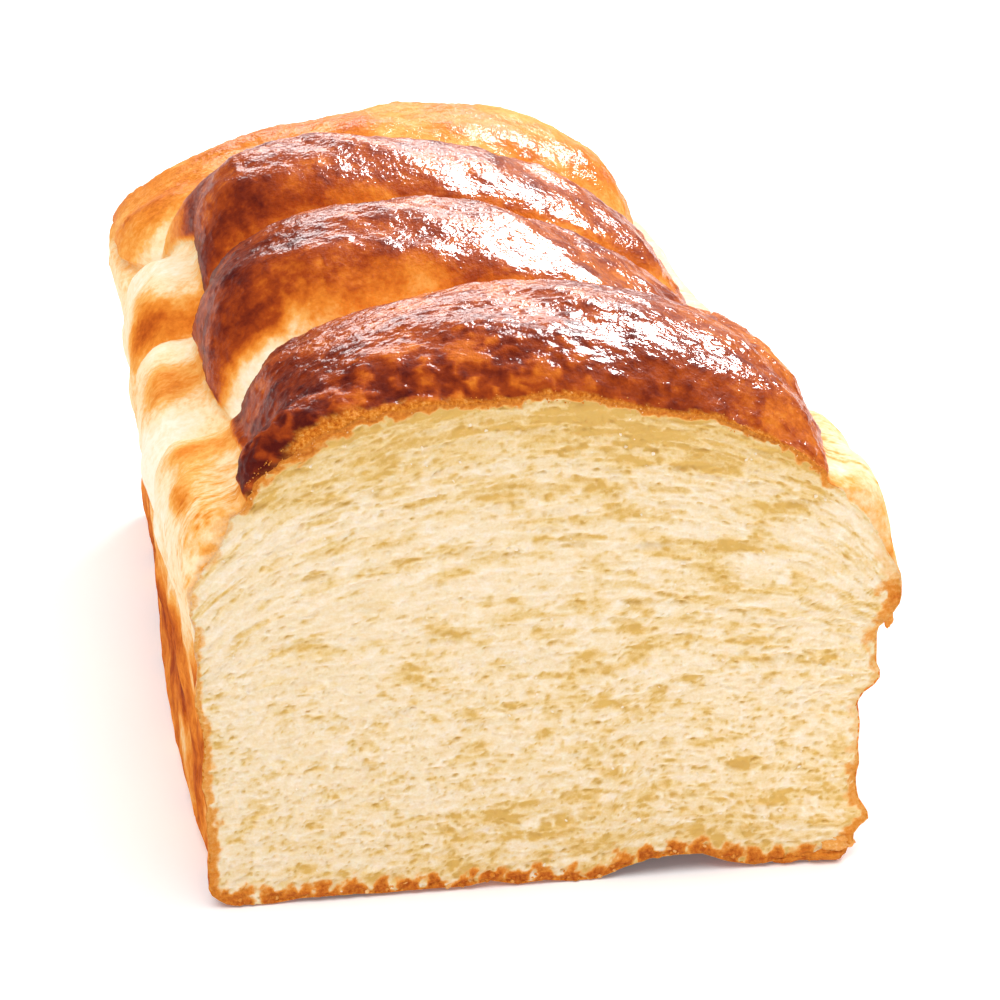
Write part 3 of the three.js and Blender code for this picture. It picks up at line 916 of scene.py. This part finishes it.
# %% The crumb piece
face_rows, face_columns = face.shape[:2]
numbers = np.arange(face_rows * face_columns).reshape(face_rows, face_columns)
loop = np.concatenate([numbers[0, :-1], numbers[:-1, -1], numbers[-1, :0:-1], numbers[:0:-1, 0]])
flat_front = front.reshape(-1, 3)
back_ring = bevelled(flat_front[loop], RECESS - 0.5)
back_at = len(flat_front)
centre_at = back_at + len(loop)
corners = [numbers[:-1, :-1], numbers[:-1, 1:], numbers[1:, 1:], numbers[1:, :-1]]
face_quads = np.stack(corners, axis=-1).reshape(-1, 4)
k = np.arange(len(loop))
m = (k + 1) % len(loop)
side_quads = np.stack([loop[k], back_at + k, back_at + m, loop[m]], axis=-1)
back_fan = np.stack([np.full(len(loop), centre_at), back_at + m, back_at + k], axis=-1)
crumb_points = np.concatenate([flat_front, back_ring, [[0, RECESS - 0.5, CORE_HEIGHT]]])
padding = np.zeros(len(crumb_points) - len(flat_front))
fields = {"toast": toast, "yellow_and_pore_shade": yellow_and_pore_shade, "fibre": fibre}
crumb_numbers = {label: np.concatenate([values.ravel(), padding]) for label, values in fields.items()}
crumb = mesh_object("crumb", crumb_points, [face_quads, side_quads, back_fan], crumb_numbers)

# %% [markdown]
# ## Loose grains
#
# A serrated knife leaves grains: golden ones in the band under the cap and on the skin beside it,
# brown ones along the base, and white flakes on the face. Each is a small ball made lumpy by noise,
# turned at random and stretched. At the right foot hangs a chunk of torn crust, with a flake under
# the shoulder's tip; these few are finer lumpy balls, listed one by one. Scattering them with geometry
# nodes would work too, but whole arrays keep every place in one short script.

# %% Lumpy balls
def ball(cuts):
    """Points and triangles of a ball of radius 1: an icosahedron, each cut splitting a side in two."""
    grid = bmesh.new()
    bmesh.ops.create_icosphere(grid, subdivisions=cuts, radius=1)
    mesh = bpy.data.meshes.new("ball")
    grid.to_mesh(mesh)
    grid.free()
    points = np.empty(3 * len(mesh.vertices), np.float32)
    faces = np.empty(len(mesh.loops), np.int32)
    mesh.vertices.foreach_get("co", points)
    mesh.loops.foreach_get("vertex_index", faces)
    bpy.data.meshes.remove(mesh)
    return points.reshape(-1, 3).astype(float), faces.reshape(-1, 3).astype(int)


def random_turns(number, random):
    """Rotation matrices: the orthogonal part of random matrices, mirrored where it is left-handed."""
    turns = np.linalg.qr(random.normal(size=(number, 3, 3)))[0]
    return turns * np.sign(np.linalg.det(turns))[:, None, None]


def grains(centres, sizes, seed, cuts=2, lumpy=0.4):
    """Points and triangles of one lumpy ball for each centre, with sizes along its own three axes."""
    random = np.random.default_rng(seed)
    points, faces = ball(cuts)
    number = len(centres)
    shifted = points[None] + random.random((number, 1, 3)) * 40
    bumps = 1 + lumpy * layered(shifted, 0.9, seed, 2)
    local = points[None] * bumps[..., None] * sizes[:, None]
    placed = np.einsum("nij,npj->npi", random_turns(number, random), local) + centres[:, None]
    offset = np.arange(number)[:, None, None] * len(points)
    return placed.reshape(-1, 3), (faces[None] + offset).reshape(-1, 3)


# %% Places of the grains
random = np.random.default_rng(5)


def along_ring(start, end, number, depth_range):
    """Random places inside the cut's outline between two h, at depths from the outline."""
    pick = np.flatnonzero((ring_h >= start) & (ring_h <= end))
    at = random.choice(pick, number)
    depths = random.uniform(*depth_range, number)
    run = outer_ring[(at + 1) % count] - outer_ring[at - 1]
    normal = np.stack([-run[:, 2], 0 * run[:, 0], run[:, 0]], axis=-1)
    normal /= np.linalg.norm(normal, axis=-1, keepdims=True)
    slide = (outer_ring[(at + 1) % count] - outer_ring[at]) * random.random((number, 1))
    return outer_ring[at] + slide + normal * depths[:, None]


def sizes_of(number, low, high, flat=0.7):
    """Three half sizes for each grain, between low and high, the third made flatter."""
    return random.uniform(low, high, (number, 1)) * random.uniform(0.7, 1.2, (number, 3)) * [1, 1, flat]


# %% The grains
cap_grains = along_ring(0.59, 1.0, 240, (0.1, 1.3))
cap_grains[:, 1] = random.uniform(0.05, 0.25, len(cap_grains))
on_cap = np.flatnonzero(ring_h > CREASE_END + 0.02)
skin_grains = crust_points[random.integers(0, 3, 120), random.choice(on_cap, 120)]
base_grains = along_ring(0.0, 0.19, 60, (0.1, 1.6))
base_grains[:, 1] = random.uniform(0.1, 0.5, len(base_grains))
inner = np.flatnonzero(edge_gap.ravel() > 2.0)
flakes = flat_front[random.choice(inner, 120)] - [0, 0.08, 0]
groups = [
    (cap_grains, sizes_of(len(cap_grains), 0.09, 0.20), random.uniform(0.25, 0.6, len(cap_grains))),
    (skin_grains, sizes_of(len(skin_grains), 0.08, 0.17), random.uniform(0.4, 0.7, len(skin_grains))),
    (base_grains, sizes_of(len(base_grains), 0.3, 0.6), random.uniform(0.35, 0.6, len(base_grains))),
    (flakes, sizes_of(len(flakes), 0.12, 0.36, 0.5), np.zeros(len(flakes))),
]
grain_points, grain_faces, grain_toast, start = [], [], [], 0
for seed, (centres, sizes, toasts) in enumerate(groups):
    points, faces = grains(centres, sizes, 200 + seed)
    grain_points.append(points)
    grain_faces.append(faces + start)
    grain_toast.append(np.repeat(toasts, len(points) // len(centres)))
    start += len(points)
grain_toast = np.concatenate(grain_toast)
for part in grain_points:
    part[:, 2] = np.maximum(part[:, 2], 0)
# The flakes take the fibres' painted highlight in full.
grain_numbers = {"toast": grain_toast, "yellow_and_pore_shade": 0 * grain_toast, "fibre": (grain_toast == 0) * 1.0}
loose_grains = mesh_object("loose_grains", np.concatenate(grain_points), grain_faces, grain_numbers)

# %% The chunk at the right foot and the flake under the tip
# Rows of the middle, the half sizes and how toasted it is.
CRUSTS = [
    ((49.6, 0.6, 3.4), (2.9, 1.4, 1.3), 0.42),
    ((47.2, 0.5, 1.6), (3.6, 1.3, 1.1), 0.6),
    ((41.0, 0.6, 1.2), (2.6, 1.0, 0.9), 0.66),
    ((56.9, 0.8, 43.4), (0.8, 0.8, 1.6), 0.5),
]
bits, bit_faces = [], []
ball_points, ball_faces = ball(4)
for index, (centre, size, toasts) in enumerate(CRUSTS):
    bumps = 1 + 0.35 * layered(ball_points + 7.3 * index, 0.7, 230 + index, 3)
    bit = ball_points * bumps[:, None] * size + centre
    bits.append(np.maximum(bit, [-np.inf, -np.inf, 0]))
    bit_faces.append(ball_faces + index * len(ball_points))
bit_toast = np.repeat([row[2] for row in CRUSTS], len(ball_points))
bit_numbers = {"toast": bit_toast, "yellow_and_pore_shade": 0 * bit_toast, "fibre": 0 * bit_toast}
torn_crusts = mesh_object("torn_crusts", np.concatenate(bits), bit_faces, bit_numbers)

# %% [markdown]
# ## Finishes
#
# All finishes are made of shader nodes. The crust's colour ramp runs from pale dough to mahogany
# along the bake of each point, broken up by noise in the piece's own space, and a clear coat stands
# for the egg glaze. The crumb lets some light in, which softens it; the loose grains and crusts
# have the same colours but are dry, because light inside so small a thing would make it glow.

# %% Node helpers
def new_finish(name):
    """A material with a node tree, its principled shader and a way to add joined nodes."""
    finish = bpy.data.materials.new(name)
    finish.use_nodes = True
    tree = finish.node_tree
    shader = tree.nodes["Principled BSDF"]

    def add(kind, inputs=None, **settings):
        node = tree.nodes.new(kind)
        for key, value in settings.items():
            setattr(node, key, value)
        for key, value in (inputs or {}).items():
            socket = node.inputs[key]
            if isinstance(value, bpy.types.NodeSocket):
                tree.links.new(value, socket)
            else:
                socket.default_value = value
        return node

    def join(source, target):
        tree.links.new(source, shader.inputs[target])

    return finish, shader, add, join


def ramp(add, factor, stops):
    """A colour ramp over (place, colour words) stops."""
    node = add("ShaderNodeValToRGB", {"Fac": factor})
    elements = node.color_ramp.elements
    while len(elements) < len(stops):
        elements.new(0.5)
    for element, (place, words) in zip(elements, stops):
        element.position = place
        element.color = colour(words)
    return node.outputs["Color"]


def reckon(add, kind, first, second):
    """Output of a math node over two values or sockets."""
    return add("ShaderNodeMath", {0: first, 1: second}, operation=kind).outputs[0]


def waver(add, place, scale, detail, strength):
    """Noise about 0 with a strength, made from the place in the piece's own space."""
    settings = {"Vector": place, "Scale": scale, "Detail": detail, "Roughness": 0.6}
    node = add("ShaderNodeTexNoise", settings)
    return reckon(add, "MULTIPLY", reckon(add, "SUBTRACT", node.outputs["Fac"], 0.5), strength)


def number_of(add, label):
    """The value of a point attribute."""
    return add("ShaderNodeAttribute", attribute_name=label).outputs["Fac"]


# %% The crust's finish
CRUST_STOPS = [
    (0.00, "fdf3dc"),
    (0.15, "fae0b2"),
    (0.30, "f5b15c"),
    (0.43, "e98b30"),
    (0.56, "d06a20"),
    (0.70, "a84618"),
    (0.85, "7e2d16"),
    (1.00, "561a14"),
]
TOAST_STOPS = [(0.0, "f3d29c"), (0.3, "ebb164"), (0.55, "dc872e"), (0.8, "b85a16"), (1.0, "7c350e")]


def crust_finish():
    """Egg-glazed crust: colour and gloss by bake, crackle by bump, and grainy gold where it is torn."""
    finish, shader, add, join = new_finish("glazed_crust")
    place = add("ShaderNodeTexCoord").outputs["Object"]
    baked = number_of(add, "bake")
    torn = number_of(add, "torn")
    tone = reckon(add, "ADD", baked, waver(add, place, 230.0, 5.0, 0.30))
    tone = reckon(add, "ADD", tone, waver(add, place, 900.0, 3.0, 0.30))
    glazed = ramp(add, tone, CRUST_STOPS)
    golden = ramp(add, reckon(add, "ADD", waver(add, place, 1600.0, 3.0, 1.2), 0.62), TOAST_STOPS)
    mixed = add("ShaderNodeMix", {0: torn, 6: glazed, 7: golden}, data_type="RGBA")
    join(mixed.outputs[2], "Base Color")

    glazing = number_of(add, "glaze")
    rough = add("ShaderNodeMapRange", {"Value": glazing, "To Min": 0.8, "To Max": 0.5})
    join(rough.outputs["Result"], "Roughness")
    join(reckon(add, "MULTIPLY", glazing, 0.45), "Coat Weight")
    shader.inputs["Coat Roughness"].default_value = 0.06
    shader.inputs["Specular IOR Level"].default_value = 0.02

    wrinkles = waver(add, place, 650.0, 2.0, 1.0)
    cells = add("ShaderNodeTexVoronoi", {"Vector": place, "Scale": 950.0}, feature="F1")
    height = reckon(add, "ADD", wrinkles, reckon(add, "MULTIPLY", cells.outputs["Distance"], 0.35))
    height = reckon(add, "ADD", height, waver(add, place, 1700.0, 1.0, 0.3))
    crackle = add("ShaderNodeBump", {"Strength": 1.0, "Distance": 0.00022, "Height": height})
    join(crackle.outputs["Normal"], "Coat Normal")
    grit = reckon(add, "ADD", height, waver(add, place, 1800.0, 3.0, 1.0))
    rugged = add("ShaderNodeBump", {"Strength": 0.6, "Distance": 0.0003, "Height": grit})
    join(rugged.outputs["Normal"], "Normal")
    return finish


glazed_crust = crust_finish()
crust.data.materials.append(glazed_crust)
print("the crust's finish has", len(glazed_crust.node_tree.nodes), "nodes")


# %% The crumb's finish
INSIDE_STOPS = [(0.0, "fcf4ea"), (0.25, "f6e7d2"), (0.5, "efd8b0"), (0.75, "e8c98e"), (1.0, "dcb263")]


def crumb_finish(name, lit_through):
    """Cream crumb: painted shade yellows the pores and a painted highlight whitens the fibres; toasted
    along the crust, with its share of light inside.
    """
    finish, shader, add, join = new_finish(name)
    place = add("ShaderNodeTexCoord").outputs["Object"]
    # The yellowness read here holds the painted shade of the hollows; the fibre number below whitens the
    # strands as a painted highlight.
    tone = reckon(add, "MULTIPLY", number_of(add, "yellow_and_pore_shade"), 0.62)
    tone = reckon(add, "ADD", tone, reckon(add, "MULTIPLY", number_of(add, "fibre"), -0.14))
    drawn = add("ShaderNodeMapping", {"Vector": place, "Scale": (0.4, 1.0, 1.0)}).outputs["Vector"]
    tone = reckon(add, "ADD", tone, waver(add, drawn, 1400.0, 3.0, 0.55))
    tone = reckon(add, "ADD", tone, waver(add, place, 2600.0, 2.0, 0.35))
    tone = reckon(add, "ADD", tone, 0.45)
    inside = ramp(add, tone, INSIDE_STOPS)
    toast = number_of(add, "toast")
    speckle = reckon(add, "ADD", waver(add, place, 1600.0, 3.0, 1.0), 1.0)
    toasted = reckon(add, "MULTIPLY", toast, speckle)
    golden = ramp(add, toasted, TOAST_STOPS)
    share = add("ShaderNodeMapRange", {"Value": toasted, "From Min": 0.08, "From Max": 0.4})
    mixed = add("ShaderNodeMix", {0: share.outputs["Result"], 6: inside, 7: golden}, data_type="RGBA")
    join(mixed.outputs[2], "Base Color")
    shader.inputs["Roughness"].default_value = 0.8
    shader.inputs["Specular IOR Level"].default_value = 0.2
    shader.inputs["Subsurface Weight"].default_value = lit_through
    shader.inputs["Subsurface Radius"].default_value = (0.0022, 0.0016, 0.0009)
    shader.inputs["Subsurface Scale"].default_value = 0.5
    grit = waver(add, place, 2200.0, 3.0, 1.0)
    bump = add("ShaderNodeBump", {"Strength": 0.4, "Distance": 0.0003, "Height": grit})
    join(bump.outputs["Normal"], "Normal")
    return finish


soft_crumb = crumb_finish("soft_crumb", 0.4)
dry_grains = crumb_finish("dry_grains", 0.0)
for piece, finish in ((crumb, soft_crumb), (loose_grains, dry_grains), (torn_crusts, dry_grains)):
    piece.data.materials.append(finish)
    print(piece.name, "has the finish", finish.name)

# %% [markdown]
# ## Floor, light and camera
#
# The loaf stands on a pale table in a bright room. One soft window stands behind it on the right:
# the glazed humps mirror it as broken white bands. Two faint panels, behind and on the left, are
# mirrored along the crests and the left ends. A wide soft sun from above and in front lights the
# face and the table, and the pale surroundings fill the rest. Lamps that are mirrored light no
# surface here, and the others aren't mirrored, so that shine and shade can each be set alone.

# %% The stage
def stage_floor():
    """A wide pale table top at the height of the loaf's base."""
    mesh = bpy.data.meshes.new("table_top")
    reach = 4.0
    corners = [(-reach, -reach, 0), (reach, -reach, 0), (reach, reach, 0), (-reach, reach, 0)]
    mesh.from_pydata(corners, [], [(0, 1, 2, 3)])
    floor = bpy.data.objects.new("table_top", mesh)
    bpy.context.scene.collection.objects.link(floor)
    finish, shader, add, join = new_finish("pale_table")
    place = add("ShaderNodeTexCoord").outputs["Object"]
    cloud = add("ShaderNodeTexNoise", {"Vector": place, "Scale": 3.0})
    join(ramp(add, cloud.outputs["Fac"], [(0.0, "fdfcfc"), (1.0, "ffffff")]), "Base Color")
    shader.inputs["Emission Color"].default_value = (1.0, 1.0, 1.0, 1.0)
    shader.inputs["Emission Strength"].default_value = 0.1
    shader.inputs["Roughness"].default_value = 0.8
    shader.inputs["Specular IOR Level"].default_value = 0.0
    floor.data.materials.append(finish)


def lamp(name, kind, place, target, shades=True, shines=True, **settings):
    """A light at a place, facing a target; it may light the surfaces, be mirrored in them, or both."""
    light = bpy.data.lights.new(name, kind)
    for key, value in settings.items():
        setattr(light, key, value)
    made = bpy.data.objects.new(name, light)
    bpy.context.scene.collection.objects.link(made)
    made.visible_camera = False
    made.visible_diffuse = shades
    made.visible_glossy = shines
    made.location = place
    made.rotation_euler = (Vector(target) - Vector(place)).to_track_quat("-Z", "Y").to_euler()


stage_floor()

# %% The lamps and the room
middle = (0, 0, 0.06)
panel = dict(kind="AREA", target=middle, shape="RECTANGLE")
lamp("window", place=(0.74, 0.80, 1.06), size=0.8, size_y=0.6, energy=16, shines=False, **panel)
glints = dict(shades=False, **panel)
lamp("window_glint", place=(0.62, 0.86, 1.08), size=0.66, size_y=0.6, energy=84, **glints)
lamp("rear_panel", place=(0.12, 1.36, 0.58), size=0.8, size_y=0.42, energy=8.5, **glints)
lamp("left_panel", place=(-1.1, 1.0, 0.28), size=1.2, size_y=0.3, energy=0.6, **glints)
lamp("soft_sun", "SUN", (-0.25, -0.4, 1.3), middle, shines=False, energy=1.9, angle=math.radians(55))
print("the room has", len(bpy.data.lights), "lamps")

room = bpy.data.worlds.new("bright_room")
bpy.context.scene.world = room
room.use_nodes = True
backdrop = room.node_tree.nodes["Background"]
backdrop.inputs["Color"].default_value = (1.0, 0.99, 0.98, 1.0)
backdrop.inputs["Strength"].default_value = 0.5
room.cycles_visibility.glossy = False
bpy.context.scene.view_settings.view_transform = "Standard"

# %% The camera
# The eye in millimetres, how far it looks down and to the right in radians, and a long lens.
EYE = np.array([-92.654, -508.502, 266.222])
PITCH = 0.36646240365557275
HEADING = 0.1659223411331449
FOCAL_PIXELS = 3500
IMAGE_PIXELS = 1000
SENSOR = 36.0
lens_data = bpy.data.cameras.new("camera")
lens_data.sensor_width = SENSOR
lens_data.lens = FOCAL_PIXELS * SENSOR / IMAGE_PIXELS
lens_data.clip_start, lens_data.clip_end = 0.01, 20
camera = bpy.data.objects.new("camera", lens_data)
bpy.context.scene.collection.objects.link(camera)
camera.location = to_frame(EYE)
camera.rotation_euler = (math.pi / 2 - PITCH, 0, -HEADING)
bpy.context.scene.camera = camera
print("the camera has a lens of", round(lens_data.lens), "mm")

# %% [markdown]
# ## Tying the pieces to the imported model
#
# Crust, crumb and grains are one baked piece, so all ride on the same body and stand for the
# same solid.

# %% Bodies
for piece, slot in ((crust, "crust"), (crumb, "crumb"), (loose_grains, "crumb"), (torn_crusts, "crust")):
    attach(piece, "root")
    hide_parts("loaf")
